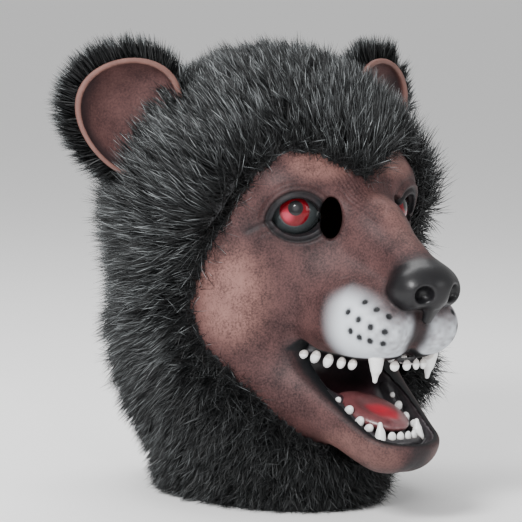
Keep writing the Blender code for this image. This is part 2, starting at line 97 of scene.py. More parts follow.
# All the forms below are in millimetres from the middle of the neck, which stands this far behind the box's middle
NECK_MIDDLE = 1000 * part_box("nose_pad")[0].y + 207.6
camera_data = bpy.data.cameras.new("photo_camera")
camera_data.sensor_width = 36
camera_data.lens = 36 * CAMERA_AWAY / (PHOTO_PIXELS * MM_PER_PIXEL)
camera_data.clip_start, camera_data.clip_end = 0.05, 50
camera = bpy.data.objects.new("photo_camera", camera_data)
aim = Vector((0, NECK_MIDDLE / 1000, 0.2)) - across * 0.0131 - upward * 0.0098
spot = aim + toward * (CAMERA_AWAY / 1000)
camera.matrix_world = Matrix((
    (across.x, upward.x, toward.x, spot.x), (across.y, upward.y, toward.y, spot.y),
    (across.z, upward.z, toward.z, spot.z), (0, 0, 0, 1),
))
bpy.context.collection.objects.link(camera)
bpy.context.scene.camera = camera

# Latex head: one moulded skin about 3 mm thick, slush-cast in a plaster mould, with the muzzle, brows,
# lids, lips, jaw and nose in it. It is painted in thin brown coats, rubbed lighter on the high places with a
# painted highlight worked in, and given painted shade round the eyes, in the creases and in the mouth corners.
LATEX_WALL = 3.0
SKIN_NET = 1.2
NECK_RISE = 141


def ball(p, centre, radii, turned=0.0, tipped=0.0):
    """Distance to an egg-shaped lump."""
    q = p - np.array(centre, float)
    s, c = math.sin(math.radians(turned)), math.cos(math.radians(turned))
    q = np.stack([q[:, 0] * c + q[:, 1] * s, q[:, 1] * c - q[:, 0] * s, q[:, 2]], axis=1)
    s, c = math.sin(math.radians(tipped)), math.cos(math.radians(tipped))
    q = np.stack([q[:, 0], q[:, 1] * c + q[:, 2] * s, q[:, 2] * c - q[:, 1] * s], axis=1)
    radii = np.array(radii, float) * np.ones(3)
    out = np.linalg.norm(q / radii, axis=1)
    return out * (out - 1) / (np.linalg.norm(q / radii**2, axis=1) + 1e-9)


def bar(p, start, end, start_radius, end_radius):
    """Distance to a round bar that may taper."""
    start, end = np.array(start, float), np.array(end, float)
    run = end - start
    share = np.clip((p - start) @ run / (run @ run), 0, 1)
    away = np.linalg.norm(p - start - share[:, None] * run, axis=1)
    return away - start_radius - (end_radius - start_radius) * share


def join(a, b, blend):
    """Two forms as one, with a soft fillet of that width between them."""
    near = np.maximum(blend - np.abs(a - b), 0) / blend
    return np.minimum(a, b) - near * near * blend / 4


def carve(a, b, blend):
    """The first form with the second one cut away from it."""
    return -join(-a, b, blend)


def step(value, start, end):
    """Rises smoothly from 0 at the start to 1 at the end."""
    share = np.clip((value - start) / (end - start), 0, 1)
    return share * share * (3 - 2 * share)


def ridge(distance, width):
    """1 on a line, falling off softly to both sides."""
    return np.exp(-((distance / width) ** 2))


def folded(p):
    """Both sides of the mask are alike, so a form is worked out on the left side."""
    q = np.array(p, float)
    q[:, 0] = np.abs(q[:, 0])
    return q


def neck(q):
    """The tube of the neck, which widens upward and leans back."""
    up = np.clip(q[:, 2] / NECK_RISE, 0, 1)
    wide, deep, back = 77 + 27.2 * up, 87 + 15.5 * up, 15.5 * up
    side = (np.hypot(q[:, 0] / wide, (q[:, 1] - back) / deep) - 1) * np.minimum(wide, deep)
    return carve(side, 158 - q[:, 2], 45)


def closed_head(q):
    """The head with its mouth shut, before any detail."""
    form = join(ball(q, (0, 10, 235), (112, 118, 118)), neck(q), 34)
    form = join(form, ball(q, (0, -38, 60), (56, 56, 62)), 40)
    form = join(form, ball(q, (56, -24, 160), (46, 45, 62)), 40)
    form = join(form, ball(q, (40, -80, 260), (30, 19, 17), 14), 26)
    form = join(form, ball(q, (0, -105, 178), (44, 78, 40), 0, 14), 40)
    form = join(form, bar(q, (0, -64, 238), (0, -124, 229), 30, 21), 30)
    form = join(form, bar(q, (0, -124, 229), (0, -176, 199), 21, 18), 14)
    form = join(form, ball(q, (20.5, -152, 158), (24, 36, 26), 18), 14)
    form = join(form, ball(q, (26, -118, 156), (20, 44, 22), 10), 22)
    form = join(form, bar(q, (46, -40, 112), (15, -158, 68), 27, 22), 26)
    form = join(form, ball(q, (0, -154, 66), (27, 36, 23)), 16)
    return join(form, ball(q, (0, -118, 108), (30, 66, 44)), 14)


def upper_lip(x, y):
    """Height of the upper lip line: a lift near the corner and a notch under the nose."""
    run = np.clip((-y - 78) / 100, 0, 1.3)
    z = 129.5 + 8 * ridge(run - 0.15, 0.08) + 16 * np.maximum(run - 0.55, 0) ** 2
    return z + 6 * ridge(x, 9) * np.clip((run - 0.5) / 0.3, 0, 1)


def lower_lip(y):
    """Height of the lower lip line, which drops from the corner and rises a little in front."""
    run = np.clip(-y - 88, -20, 110)
    return 126 - 0.62 * run - 6 * (1 - np.exp(-np.maximum(run, 0) / 6)) + 10 * (run / 100) ** 6


def mouth_air(q, closed=None):
    """The open mouth: a wedge between the lips, with a tray sunk inside the lower lip."""
    inside = -closed_head(q) if closed is None else -closed
    above = (q[:, 2] - upper_lip(q[:, 0], q[:, 1])) * 0.93
    below = (lower_lip(q[:, 1]) - 10 * step(inside, 5, 16) - q[:, 2]) * 0.86
    wedge = carve(carve(above, -below, 6), -(q[:, 1] + 85), 8)
    return join(wedge, ball(q, (0, -86, 118), (27, 42, 26), 0, -20), 12)


EYE = np.array([51.0, -87.0, 241.0])
LOOK = np.array([0.454, -0.891, 0.0])
OUTWARD = np.array([0.891, 0.454, 0.0])
EYE_DOME = 23.0
EYEBALL = EYE - 14 * LOOK


def eye_slot(q):
    """Distance from the almond between the lids, seen straight on: two arcs that cross at the corners."""
    u, v = (q - EYE) @ OUTWARD, q[:, 2] - EYE[2]
    return np.maximum(np.hypot(u, v + 8) - 20, np.hypot(u, v - 4.6) - 23.1)


def before_eye(q):
    """How far in front of the lids a point lies, along the way the eye looks."""
    return (q - EYE) @ LOOK


def side_of_face(y, z):
    """Where the side of the face lies, at that depth and height."""
    xs = np.linspace(90, 0, 181)
    found = closed_head(np.stack([xs, np.full(181, float(y)), np.full(181, float(z))], axis=1))
    return xs[np.argmax(found < 0)]


# Whisker pits in three rows on each pad: how far forward and how high each pit sits
WHISKER_ROWS = (
    ((161, 178), (173, 173.5), (182, 169), (187.5, 166.5)),
    ((151, 169.5), (163, 165), (174, 160.5), (183, 157.5), (188.5, 154)),
    ((157, 155.5), (165, 151.5), (173, 149.5), (180.5, 148), (186, 147)),
)
whisker_pits = [(side_of_face(-y, z), -y, z) for row in WHISKER_ROWS for y, z in row]
whisker_pits = [pit for pit in whisker_pits if pit[0] < 60]


def pit_distance(q):
    """Distance to the nearest whisker pit."""
    nearest = np.full(len(q), 1e3)
    for pit in whisker_pits:
        nearest = np.minimum(nearest, np.linalg.norm(q - np.array(pit), axis=1))
    return nearest


def crease_line(q, points, width):
    """A soft line drawn through a few points."""
    nearest = np.full(len(q), 1e3)
    for start, end in zip(points, points[1:]):
        nearest = np.minimum(nearest, bar(q, start, end, 0, 0))
    return ridge(nearest, width)


def relief(q):
    """Height of the small modelled detail above the plain form, in millimetres."""
    slot, front = eye_slot(q), step(before_eye(q), -18, -8)
    near_eye = front * step(slot, 24, 15)
    v = q[:, 2] - EYE[2]
    over = step(v, -14, 2)
    height = near_eye * (1.5 * ridge(slot - 7.6, 2.4) * (0.35 + 0.65 * over) - 1.3 * ridge(slot - 4.6, 1.3))
    height -= near_eye * 0.9 * ridge(slot - 11.5, 1.6) * over
    seen = np.stack([(q - EYE) @ OUTWARD, 0 * v, v], axis=1)
    height -= 1.3 * front * crease_line(seen, ((19, 0, -7), (27, 0, -10), (38, 0, -16)), 1.6)
    height -= 0.7 * front * crease_line(seen, ((17, 0, -13), (28, 0, -19)), 1.3)
    # folds that fan out below the peak of the hair, and lines that run back from the nose
    flat = q * (1, 0, 1)
    for i in range(8):
        x = 2.5 + 4.0 * i
        fold = crease_line(flat, ((x, 0, 274 - 0.7 * i), (0.5 * x, 0, 249 - 1.5 * i)), 0.85)
        height -= 0.45 * (q[:, 1] < -80) * fold
    for i in range(5):
        z = 198 - 4.5 * i
        height -= 0.45 * crease_line(q, ((24, -160, z + 3), (33, -142, z - 1), (38, -126, z - 8)), 0.9)
    height -= 1.3 * crease_line(q, ((22, -178, 203), (24, -176, 190), (21, -184, 178)), 2.2)
    height -= 1.1 * ridge(pit_distance(q), 1.7)
    # the fold that the open jaw presses into the corner of the mouth
    height -= 1.6 * crease_line(q, ((46, -76, 131), (52, -66, 136), (56, -58, 146)), 3.0)
    return height


def nose_lump(q):
    """The nose pad with its wings, and the strip that runs down to the lip."""
    pad = ball(q, (0, -185, 193), (26, 23, 19), 0, 10)
    pad = join(pad, ball(q, (17, -184, 188), (12, 18, 14)), 6)
    return join(pad, bar(q, (0, -199, 184), (0, -189, 166), 6.5, 4), 6)


def sight_hole(q):
    """The opening beside each eye that the wearer looks through."""
    return ball(q, (34.5, -110, 237.5), (9, 32, 16.5), 38)


def head_skin(p):
    """The whole outer skin, with the mouth, lids, sight holes and nostrils open."""
    q = folded(p)
    closed = closed_head(q)
    form = join(closed, ball(q, EYEBALL, (28, 26.5, 25.5), 27), 9)
    form = form - relief(q)
    slot, front = eye_slot(q), before_eye(q)
    form = carve(form, np.maximum(slot, -(front + 24)), 1.2)
    dome = np.linalg.norm(q - EYEBALL, axis=1) - EYE_DOME
    rim = np.maximum(np.hypot(slot - 0.5, dome - 1.7) - 1.45, -8 - front)
    form = join(form, rim, 1.6)
    form = carve(form, sight_hole(q), 2.5)
    form = join(form, nose_lump(q), 5)
    form = carve(form, ball(q, (16, -205, 186.5), (8, 12, 7.5), 24), 3)
    form = carve(form, bar(q, (0, -201, 172), (0, -184, 146), 1.8, 1.8), 4)
    return carve(form, mouth_air(q, closed), 4)


def wrap(form, low, high, cell):
    """The skin of a form as points and quads: one point in each small cube that the skin crosses."""
    def steps(start, end):
        count = math.ceil((end - start) / cell / 4) * 4 + 1
        return start + np.arange(count) * cell

    xs, ys, zs = steps(0, high[0]), steps(low[1], high[1]), steps(low[2], high[2])
    rough = np.stack(np.meshgrid(xs[::4], ys[::4], zs[::4], indexing="ij"), axis=-1)
    rough = form(rough.reshape(-1, 3)).reshape(rough.shape[:3])
    value = rough
    for axis, count in enumerate((len(xs), len(ys), len(zs))):
        value = np.repeat(value, 4, axis=axis).take(np.arange(count), axis=axis)
    close = np.argwhere(np.abs(value) < 9 * cell)
    places = np.stack([xs[close[:, 0]], ys[close[:, 1]], zs[close[:, 2]]], axis=1)
    value[tuple(close.T)] = form(places)
    value = np.concatenate([value[:0:-1], value])
    first = np.array([-xs[-1], ys[0], zs[0]])
    inside = value < 0
    spots, cubes, faces = [], [], []
    shape = np.array(value.shape)
    for axis in range(3):
        e0, e1, e2 = np.eye(3, dtype=int)[[axis, (axis + 1) % 3, (axis + 2) % 3]]
        near = inside.take(np.arange(shape[axis] - 1), axis=axis)
        far = inside.take(np.arange(1, shape[axis]), axis=axis)
        at = np.argwhere(near != far)
        at = at[(at @ e1 > 0) & (at @ e2 > 0) & (at @ e1 < shape @ e1 - 1) & (at @ e2 < shape @ e2 - 1)]
        a, b = value[tuple(at.T)], value[tuple((at + e0).T)]
        spot = first + cell * (at + e0 * (a / (a - b))[:, None])
        ring = np.stack([at, at - e1, at - e1 - e2, at - e2], axis=1)
        ring = np.where((a < 0)[:, None, None], ring, ring[:, ::-1])
        ids = (ring[..., 0] * shape[1] + ring[..., 1]) * shape[2] + ring[..., 2]
        faces.append(ids)
        cubes.append(ids.ravel())
        spots.append(np.repeat(spot, 4, axis=0))
    faces, cubes, spots = np.concatenate(faces), np.concatenate(cubes), np.concatenate(spots)
    names, index = np.unique(cubes, return_inverse=True)
    count = np.bincount(index)
    points = np.stack([np.bincount(index, weights=spots[:, i]) / count for i in range(3)], axis=1)
    quads = np.searchsorted(names, faces)
    for _ in range(3):
        slope, gap = lean(form, points)
        points -= slope * np.clip(gap, -0.5 * cell, 0.5 * cell)[:, None]
    return points, quads


def lean(form, points, reach=0.15):
    """The way out of a form at some points, and how far they are outside it."""
    gap = form(points)
    slope = np.stack([form(points + reach * e) - form(points - reach * e) for e in np.eye(3)], axis=1) / (2 * reach)
    size = np.linalg.norm(slope, axis=1) + 1e-6
    return slope / size[:, None], gap / np.maximum(size, 0.5)


def add_piece(name, points, quads, surface, *nodes, slot, masks=None):
    """Makes a piece from millimetre points, puts it in the mask's frame and lets it ride on the head."""
    used, index = np.unique(quads, return_inverse=True)
    mesh = bpy.data.meshes.new(name)
    placed = (points[used] + (0, NECK_MIDDLE, 0)) / 1000
    mesh.from_pydata(placed, [], index.reshape(quads.shape).tolist())
    mesh.materials.append(surface)
    for mask, values in (masks or {}).items():
        mesh.attributes.new(mask, "FLOAT", "POINT").data.foreach_set("value", np.array(values, float)[used])
    mesh.shade_smooth()
    piece = bpy.data.objects.new(name, mesh)
    bpy.context.collection.objects.link(piece)
    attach(piece, "root")
    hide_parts(*nodes)


def skin_edge(q):
    """How far inside the bare face a point lies, in millimetres: below 0 it is under the fur."""
    heights = (39, 42, 59, 87, 105, 132, 165, 195, 233, 268, 300)
    line_y = np.interp(q[:, 2], heights, (-158, -138, -106, -79, -63, -43, -33, -40, -56, -65, -76))
    line_z = np.interp(q[:, 0], (0, 12, 38, 59, 80, 95, 110), (266, 272, 286, 288, 268, 236, 200))
    return np.minimum(line_y - q[:, 1], line_z - q[:, 2])


def mottle(p, size, seed=0):
    """Soft blotches between 0 and 1, each about that many millimetres across."""
    q = p / size + 31.7 * seed + 100
    base = np.floor(q)
    share = q - base
    share = share * share * (3 - 2 * share)
    total = np.zeros(len(q))
    for corner in np.ndindex(2, 2, 2):
        c = base + corner
        hashed = np.modf(np.sin(c @ np.array([12.99, 78.23, 37.72])) * 4375.85)[0] % 1
        total += hashed * np.prod(np.where(np.array(corner) == 1, share, 1 - share), axis=1)
    return total


skin_points, skin_quads = wrap(head_skin, (0, -214, 26), (116, -18, 306), SKIN_NET)
q = folded(skin_points)
bare = skin_edge(q)
deep = closed_head(q)
keep = (bare > -9) & ((deep > -5) | (before_eye(q) > -14) & (eye_slot(q) < 2))
skin_quads = skin_quads[keep[skin_quads].all(axis=1)]


def wire(tree, kind, settings=None, **inputs):
    """Adds a shader node; an input is a number, a colour or another node's socket."""
    made = tree.nodes.new(kind)
    for key, value in (settings or {}).items():
        setattr(made, key, value)
    for key, value in inputs.items():
        socket = made.inputs[key.replace("_", " ")]
        if isinstance(value, bpy.types.NodeSocket):
            tree.links.new(value, socket)
        else:
            socket.default_value = value
    return made


def tint(tree, share, under, over):
    """One coat of colour over another, where share is how much of it covers."""
    made = tree.nodes.new("ShaderNodeMix")
    made.data_type = "RGBA"
    for socket, value in ((made.inputs[0], share), (made.inputs[6], under), (made.inputs[7], over)):
        if isinstance(value, bpy.types.NodeSocket):
            tree.links.new(value, socket)
        else:
            socket.default_value = value if isinstance(value, float) else (*value, 1)
    return made.outputs[2]


def sums(tree, operation, a, b=0.0, clamp=False):
    made = wire(tree, "ShaderNodeMath", {"operation": operation, "use_clamp": clamp})
    for socket, value in zip(made.inputs, (a, b)):
        if isinstance(value, bpy.types.NodeSocket):
            tree.links.new(value, socket)
        else:
            socket.default_value = value
    return made.outputs[0]


def new_finish(name, colour, roughness, coat=0.0, coat_roughness=0.1, specular=0.5):
    made = bpy.data.materials.new(name)
    made.use_nodes = True
    shader = made.node_tree.nodes["Principled BSDF"]
    shader.inputs["Base Color"].default_value = (*colour, 1)
    shader.inputs["Roughness"].default_value = roughness
    shader.inputs["Coat Weight"].default_value = coat
    shader.inputs["Coat Roughness"].default_value = coat_roughness
    shader.inputs["Specular IOR Level"].default_value = specular
    return made, made.node_tree, shader


def new_effect(name, inputs, outputs):
    """An empty shader node group with named number inputs and outputs."""
    group = bpy.data.node_groups.new(name, "ShaderNodeTree")
    for label, value in inputs.items():
        group.interface.new_socket(label, in_out="INPUT", socket_type="NodeSocketFloat").default_value = value
    for label, kind in outputs.items():
        group.interface.new_socket(label, in_out="OUTPUT", socket_type=kind)
    return group, group.nodes.new("NodeGroupInput"), group.nodes.new("NodeGroupOutput")


# Grain: fine speckle left by the sponge and the plaster mould, as a mask and as a height
grain, grain_in, grain_out = new_effect(
    "cast_grain", {"Scale": 700.0, "Contrast": 1.0}, {"Speckle": "NodeSocketFloat", "Height": "NodeSocketFloat"},
)
place = wire(grain, "ShaderNodeTexCoord").outputs["Object"]
fine = wire(grain, "ShaderNodeTexNoise", Vector=place, Scale=grain_in.outputs["Scale"], Detail=4.0, Roughness=0.65)
wide_scale = sums(grain, "MULTIPLY", grain_in.outputs["Scale"], 0.09)
wide = wire(grain, "ShaderNodeTexNoise", Vector=place, Scale=wide_scale, Detail=3.0)
fine_part = sums(grain, "MULTIPLY", fine.outputs["Fac"], 0.6)
mixed = sums(grain, "ADD", fine_part, sums(grain, "MULTIPLY", wide.outputs["Fac"], 0.4))
spread = sums(grain, "MULTIPLY", sums(grain, "SUBTRACT", mixed, 0.5), grain_in.outputs["Contrast"])
grain.links.new(sums(grain, "ADD", spread, 0.5, True), grain_out.inputs["Speckle"])
grain.links.new(fine.outputs["Fac"], grain_out.inputs["Height"])


def grained(tree, scale, contrast):
    made = wire(tree, "ShaderNodeGroup", {"node_tree": grain}, Scale=scale, Contrast=contrast)
    return made.outputs["Speckle"], made.outputs["Height"]


def painted(tree, mask):
    return wire(tree, "ShaderNodeAttribute", {"attribute_name": mask}).outputs["Fac"]


# Paint: brown base, pinkish rub with a painted highlight on the high places, white whisker patch, black on the
# nose, lips and pits, and grey and black painted shade round the eyes, in the creases, the mouth corners and sight
# holes
latex_paint, tree, shader = new_finish("painted_latex", (0.2, 0.12, 0.12), 0.55, coat_roughness=0.27, specular=0.22)
speckle, rough_height = grained(tree, 620.0, 4.2)
skin_colour = tint(tree, speckle, (0.018, 0.0075, 0.0080), (0.080, 0.037, 0.0355))
# the rub: rubbed paint on the high places, with a painted highlight in the same mask
rub_and_highlight_share = sums(tree, "MULTIPLY", painted(tree, "rub_and_highlight"), sums(tree, "ADD", speckle, 0.35, True))
skin_colour = tint(tree, rub_and_highlight_share, skin_colour, (0.25, 0.126, 0.108))
skin_colour = tint(tree, painted(tree, "white"), skin_colour, (0.60, 0.635, 0.68))
skin_colour = tint(tree, painted(tree, "grey_paint_and_shade"), skin_colour, (0.007, 0.007, 0.0085))
skin_colour = tint(tree, painted(tree, "black_paint_and_shade"), skin_colour, (0.004, 0.0045, 0.0055))
tree.links.new(skin_colour, shader.inputs["Base Color"])
gloss = painted(tree, "gloss")
tree.links.new(sums(tree, "SUBTRACT", 0.56, sums(tree, "MULTIPLY", gloss, 0.14)), shader.inputs["Roughness"])
tree.links.new(sums(tree, "MULTIPLY", gloss, 0.22), shader.inputs["Coat Weight"])
bump = wire(tree, "ShaderNodeBump", Strength=0.35, Distance=0.0004, Height=rough_height)
tree.links.new(bump.outputs["Normal"], shader.inputs["Normal"])

slot = eye_slot(q)
lips = mouth_air(q)
nose_gap = nose_lump(q)
x, y, z = q.T
patch_top = np.interp(-y, (122, 140, 154, 171, 187), (176, 184, 181, 175, 164))
above_lip = z - upper_lip(x, y)
white = step(-y, 118, 150) * step(patch_top - z, -9, 9) * step(x, 3, 12) * step(above_lip, -2, 2)
white *= 0.95 - 0.55 * mottle(q, 3, 2) * step(-y, 160, 184)
near_lid = step(before_eye(q), -22, -10)
# grey paint and painted shade: darker round the eyes and nose, in the crease under each eye, round the whisker pits,
# along the lower lip, on the front of the chin and in the corners of the mouth
grey_paint_and_shade = near_lid * (0.55 * step(slot, 7, 3) + 0.45 * step(slot, 19, 4)) * (0.75 + 0.35 * mottle(q, 4, 9))
seen = np.stack([(q - EYE) @ OUTWARD, 0 * z, z - EYE[2]], axis=1)
grey_paint_and_shade = np.maximum(grey_paint_and_shade, 0.7 * near_lid * crease_line(seen, ((17, 0, -7), (27, 0, -10), (38, 0, -16)), 4.5))
grey_paint_and_shade = np.maximum(grey_paint_and_shade, 0.8 * step(nose_gap, 9, 1) * (0.6 + 0.4 * mottle(q, 3, 3)))
grey_paint_and_shade = np.maximum(grey_paint_and_shade, 0.5 * ridge(pit_distance(q), 4.0))
grey_paint_and_shade = np.maximum(grey_paint_and_shade, 0.8 * step(-y, 164, 180) * step(x, 17, 5) * step(z, 190, 150))
grey_paint_and_shade = np.maximum(grey_paint_and_shade, 0.55 * step(lips, 5, 1) * step(above_lip, 0, -6))
grey_paint_and_shade = np.maximum(grey_paint_and_shade, 0.4 * step(-y, 140, 184) * step(z, 50, 76) * step(z, 110, 90))
grey_paint_and_shade = np.maximum(grey_paint_and_shade, 0.6 * step(np.linalg.norm(q - (48, -86, 130), axis=1), 16, 4))
band = 0.6 + 2.4 * step(above_lip, -4, 1)
# black paint on the lips, inside the lids, in the whisker pits and on the nose, and painted shade in the fold of the
# lids and on the walls of the sight holes
black_paint_and_shade = np.maximum(step(lips - band, 0.7, -0.7), near_lid * step(slot, -0.6, -1.6))
black_paint_and_shade = np.maximum(black_paint_and_shade, 0.97 * step(pit_distance(q), 3.1, 2.1))
black_paint_and_shade = np.maximum(black_paint_and_shade, near_lid * 0.75 * ridge(slot - 4.4, 1.3))
black_paint_and_shade = np.maximum(black_paint_and_shade, step(sight_hole(q), 0.4, -0.8))
gloss_mask = step(nose_gap, 2.6, 0.4)
black_paint_and_shade = np.maximum(black_paint_and_shade, 0.93 * gloss_mask)
# rubbed paint with a painted highlight on brow, cheek, bridge and chin
rub_and_highlight = 0.6 * step(ball(q, (33, -92, 278), (26, 16, 11)), 9, -4)
rub_and_highlight += 0.75 * step(ball(q, (94, -62, 172), (22, 30, 34)), 18, -14)
rub_and_highlight += 0.35 * step(x, 18, 4) * step(-y, 110, 130) * step(z, 214, 228)
rub_and_highlight += 0.35 * step(ball(q, (30, -150, 60), (24, 36, 16)), 10, -6)
rub_and_highlight *= 0.7 + 0.4 * mottle(q, 5, 5)
masks = {"white": white, "grey_paint_and_shade": grey_paint_and_shade, "black_paint_and_shade": black_paint_and_shade, "gloss": gloss_mask, "rub_and_highlight": rub_and_highlight}
masks = {mask: np.clip(values, 0, 1) for mask, values in masks.items()}

on_nose = nose_gap < 1.4
nose_faces = on_nose[skin_quads].all(axis=1)
shells = ["head_shell_front_left", "head_shell_front_right", "head_shell_back_left", "head_shell_back_right"]
add_piece("face_skin", skin_points, skin_quads[~nose_faces], latex_paint, *shells, slot="latex", masks=masks)
add_piece("nose", skin_points, skin_quads[nose_faces], latex_paint, "nose_pad", slot="nose", masks=masks)

# Inside of the head: bare cast latex, tan brown and dusted with talc, seen only through the neck.
# It is the other face of the same skin, one wall's thickness in.
INNER_NET = 4.6
raw_latex, tree, shader = new_finish("raw_latex", (0.30, 0.20, 0.15), 0.7)
speckle, rough_height = grained(tree, 250.0, 2.0)
tree.links.new(tint(tree, speckle, (0.17, 0.105, 0.08), (0.36, 0.26, 0.20)), shader.inputs["Base Color"])
bump = wire(tree, "ShaderNodeBump", Strength=0.4, Distance=0.0008, Height=rough_height)
tree.links.new(bump.outputs["Normal"], shader.inputs["Normal"])


def inner_wall(p):
    q = folded(p)
    form = closed_head(q) + LATEX_WALL
    form = carve(form, mouth_air(q, form - LATEX_WALL) - 1.2, 2)
    form = carve(form, np.maximum(eye_slot(q) - 1, -(before_eye(q) + 38)), 2)
    return carve(form, sight_hole(q) - 1, 2)


inner_points, inner_quads = wrap(inner_wall, (0, -190, -6), (112, 132, 352), INNER_NET)
outside = closed_head(folded(inner_points))
keep = (outside < -1.6) & (outside > -5) & (inner_points[:, 2] > 0.4)
inner_quads = inner_quads[keep[inner_quads].all(axis=1)][:, ::-1]
add_piece("head_inside", inner_points, inner_quads, raw_latex, *shells, slot="latex")

# Eyes: two clear plastic domes painted from behind, red with a dark pupil, glued in behind the lids.
# A dark grey rim is left round the iris, and the front is polished.
eye_paint, tree, shader = new_finish(
    "painted_eye", (0.5, 0.02, 0.03), 0.16, coat=0.55, coat_roughness=0.03, specular=0.1,
)
shader.inputs["Coat IOR"].default_value = 1.4


def fade(tree, value, start, end):
    """A mask that rises smoothly from 0 to 1 as a value goes from start to end."""
    smooth = {"interpolation_type": "SMOOTHSTEP"}
    return wire(tree, "ShaderNodeMapRange", smooth, Value=value, From_Min=start, From_Max=end).outputs["Result"]


from_iris, from_pupil, from_painted_glow = [painted(tree, mask) for mask in ("from_iris", "from_pupil", "from_painted_glow")]
speckle = grained(tree, 1200.0, 2.0)[0]
red = tint(tree, speckle, (0.08, 0.0006, 0.003), (0.16, 0.002, 0.007))
# a painted highlight: the iris is lit pinker toward its lower outer side
red = tint(tree, fade(tree, from_painted_glow, 7.5, 0.5), red, (0.34, 0.03, 0.055))
red = tint(tree, fade(tree, from_iris, 9.6, 12.2), red, (0.09, 0.002, 0.006))
pupil = tint(tree, fade(tree, from_pupil, 3.6, 1.0), (0.010, 0.010, 0.011), (0.035, 0.034, 0.036))
red = tint(tree, fade(tree, from_pupil, 6.4, 5.7), red, pupil)
white = tint(tree, speckle, (0.018, 0.021, 0.022), (0.045, 0.052, 0.054))
tree.links.new(tint(tree, fade(tree, from_iris, 12.0, 12.7), red, white), shader.inputs["Base Color"])


def heading(outward, upward):
    """A direction from the eye, in degrees off its own axis."""
    way = LOOK + math.tan(math.radians(outward)) * OUTWARD + np.array([0, 0, math.tan(math.radians(upward))])
    return way / np.linalg.norm(way)


def sheet(rows, columns):
    """Quads over a grid of points laid out row by row."""
    corner = (np.arange(rows - 1)[:, None] * columns + np.arange(columns - 1)).ravel()
    return np.stack([corner, corner + 1, corner + columns + 1, corner + columns], axis=1)


EYE_GRID = 72
along = np.linspace(-1.7, 1.7, EYE_GRID)
u, v = [grid.ravel()[:, None] for grid in np.meshgrid(along, along)]
ways = LOOK + u * OUTWARD + v * np.array([0.0, 0.0, 1.0])
ways /= np.linalg.norm(ways, axis=1)[:, None]
eye_points, eye_quads = EYEBALL + EYE_DOME * ways, sheet(EYE_GRID, EYE_GRID)
eye_quads = eye_quads[(eye_slot(eye_points) < 3.5)[eye_quads].all(axis=1)]
masks = {
    "from_iris": EYE_DOME * np.arccos(np.clip(ways @ heading(7, 2.2), -1, 1)),
    "from_pupil": EYE_DOME * np.arccos(np.clip(ways @ heading(5.5, 9), -1, 1)),
    "from_painted_glow": EYE_DOME * np.arccos(np.clip(ways @ heading(22, -8), -1, 1)),
}
mirror = np.array([-1.0, 1.0, 1.0])
add_piece("eye_dome_left", eye_points, eye_quads, eye_paint, "eye_left", slot="eye", masks=masks)
add_piece("eye_dome_right", eye_points * mirror, eye_quads[:, ::-1], eye_paint, "eye_right", slot="eye", masks=masks)

# Mouth lining: the pocket behind the lips, cast with the head, with a ridge of gum under each row of
# teeth. It is painted black, and dark red toward the throat.
lining_paint, tree, shader = new_finish("painted_lining", (0.02, 0.02, 0.02), 0.38, coat=0.25, coat_roughness=0.3)
speckle, rough_height = grained(tree, 420.0, 2.4)
gum_black = tint(tree, speckle, (0.008, 0.008, 0.010), (0.034, 0.030, 0.034))
flesh = tint(tree, speckle, (0.035, 0.008, 0.014), (0.10, 0.032, 0.040))
tree.links.new(tint(tree, painted(tree, "flesh"), gum_black, flesh), shader.inputs["Base Color"])
bump = wire(tree, "ShaderNodeBump", Strength=0.4, Distance=0.0005, Height=rough_height)
tree.links.new(bump.outputs["Normal"], shader.inputs["Normal"])

# Left half of each row, from the front: across, back and height of the middle of each tooth, half its
# width and half its height. The third one is the fang.
UPPER_TEETH = (
    (4.8, -173, 128.5, 3.4, 4.3), (14.6, -170, 128.0, 3.7, 4.2), (27.5, -163, 124.5, 5.6, 10.5),
    (31, -139, 126.0, 4.0, 4.6), (31.5, -126, 125.5, 4.0, 5.0), (32.5, -111, 125, 4.6, 5.8),
    (35, -98, 126.5, 4.3, 5.4), (40, -89, 127.5, 4.0, 3.8),
)
LOWER_TEETH = (
    (3.9, -168, 71, 3.2, 4.4), (11.2, -166.5, 71, 3.4, 4.6), (19.5, -162, 75.5, 4.2, 7.6),
    (23, -152, 76.5, 4.1, 4.2), (23.5, -141, 80, 4.4, 5.0), (25.5, -130, 87.5, 4.2, 4.6), (28, -119, 94, 3.0, 3.4),
)
GUM_RADIUS = 4.4


def gums(q):
    """The two ridges of gum, each a chain of bars from foot to foot of its teeth."""
    form = np.full(len(q), 50.0)
    for row, up in ((UPPER_TEETH, 1), (LOWER_TEETH, -1)):
        feet = [np.array([x, y, z + up * (tall + 1.0)]) for x, y, z, _, tall in row]
        feet = [feet[0] * (0, 1, 1)] + feet + [2 * feet[-1] - feet[-2]]
        for start, end in zip(feet, feet[1:]):
            form = np.minimum(form, bar(q, start, end, GUM_RADIUS, GUM_RADIUS))
    return form


def pocket(p):
    """The room behind the lips, with its gums and the folds of the palate."""
    q = folded(p)
    room = mouth_air(q) - 1.3
    room += 0.5 * np.sin(q[:, 1] / 2.6) * step(q[:, 2], 118, 128) * step(q[:, 0], 26, 12)
    return carve(room, gums(q), 3)


pocket_points, pocket_quads = wrap(pocket, (0, -192, 46), (64, -32, 160), 1.5)
q = folded(pocket_points)
keep = closed_head(q) < -2.2
throat = step(q[:, 1], -165, -130) * step(q[:, 0], 30, 14) * step(q[:, 2], 112, 96)
flesh = 0.8 * step(gums(q), 3, 9) * (0.15 + 0.6 * throat)
add_piece(
    "mouth_pocket", pocket_points, pocket_quads[keep[pocket_quads].all(axis=1)][:, ::-1], lining_paint,
    "mouth_lining", slot="gum", masks={"flesh": flesh},
)

